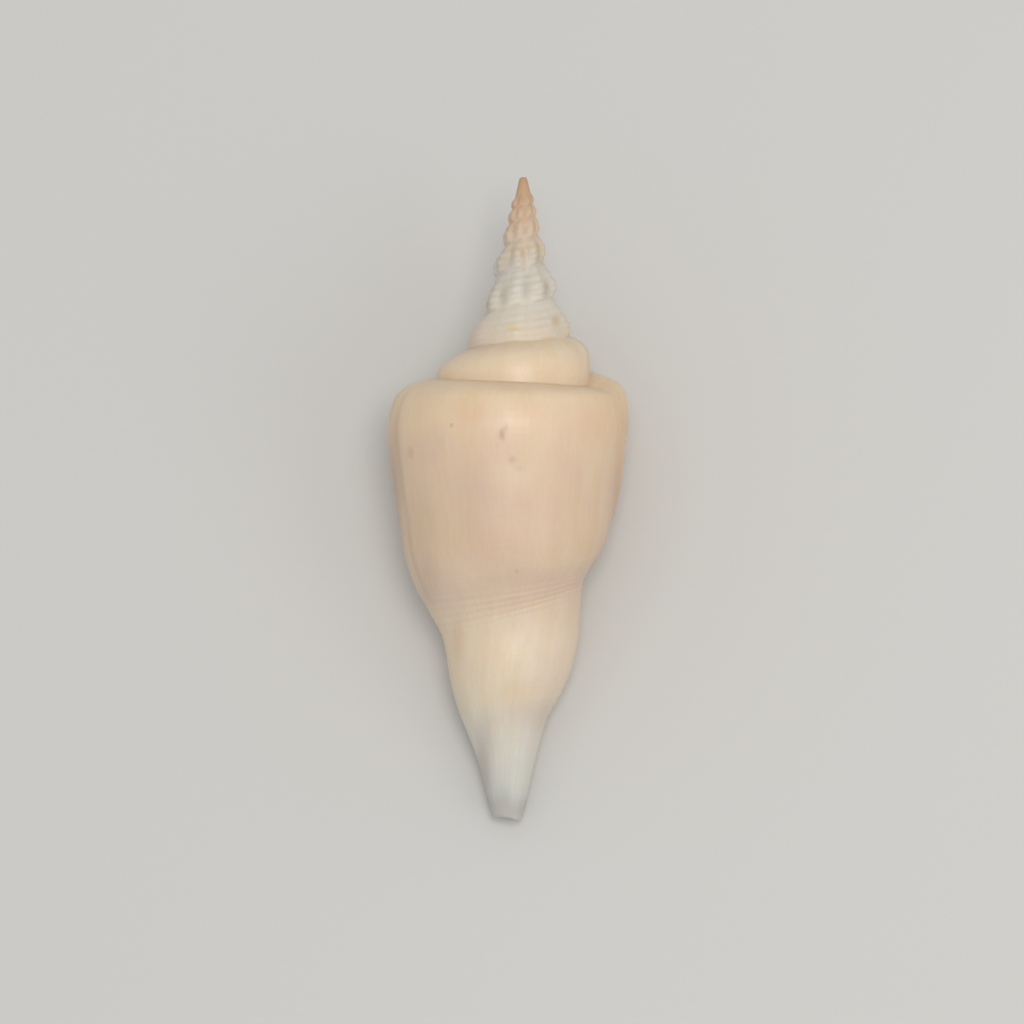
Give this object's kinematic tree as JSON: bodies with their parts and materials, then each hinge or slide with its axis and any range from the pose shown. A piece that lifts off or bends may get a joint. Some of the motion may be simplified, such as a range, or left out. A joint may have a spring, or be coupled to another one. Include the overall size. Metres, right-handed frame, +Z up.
{
  "type": "spindle-shaped seashell",
  "caption": "Empty spindle-shaped sea snail shell with a swollen smooth last whorl, a short ribbed spire and a long open canal, lying on its aperture.",
  "frame": {"origin": "centre of the bounding box's bottom face, on the floor that the shell lies on", "axes": "+Y along the shell towards the spire's tip, +X towards the columella side as seen from above, +Z up"},
  "size_m": [0.0264, 0.0686, 0.0239],
  "materials": {
    "shell": null
  },
  "bodies": {
    "root": {"shell": "shell"}
  },
  "joints": []
}
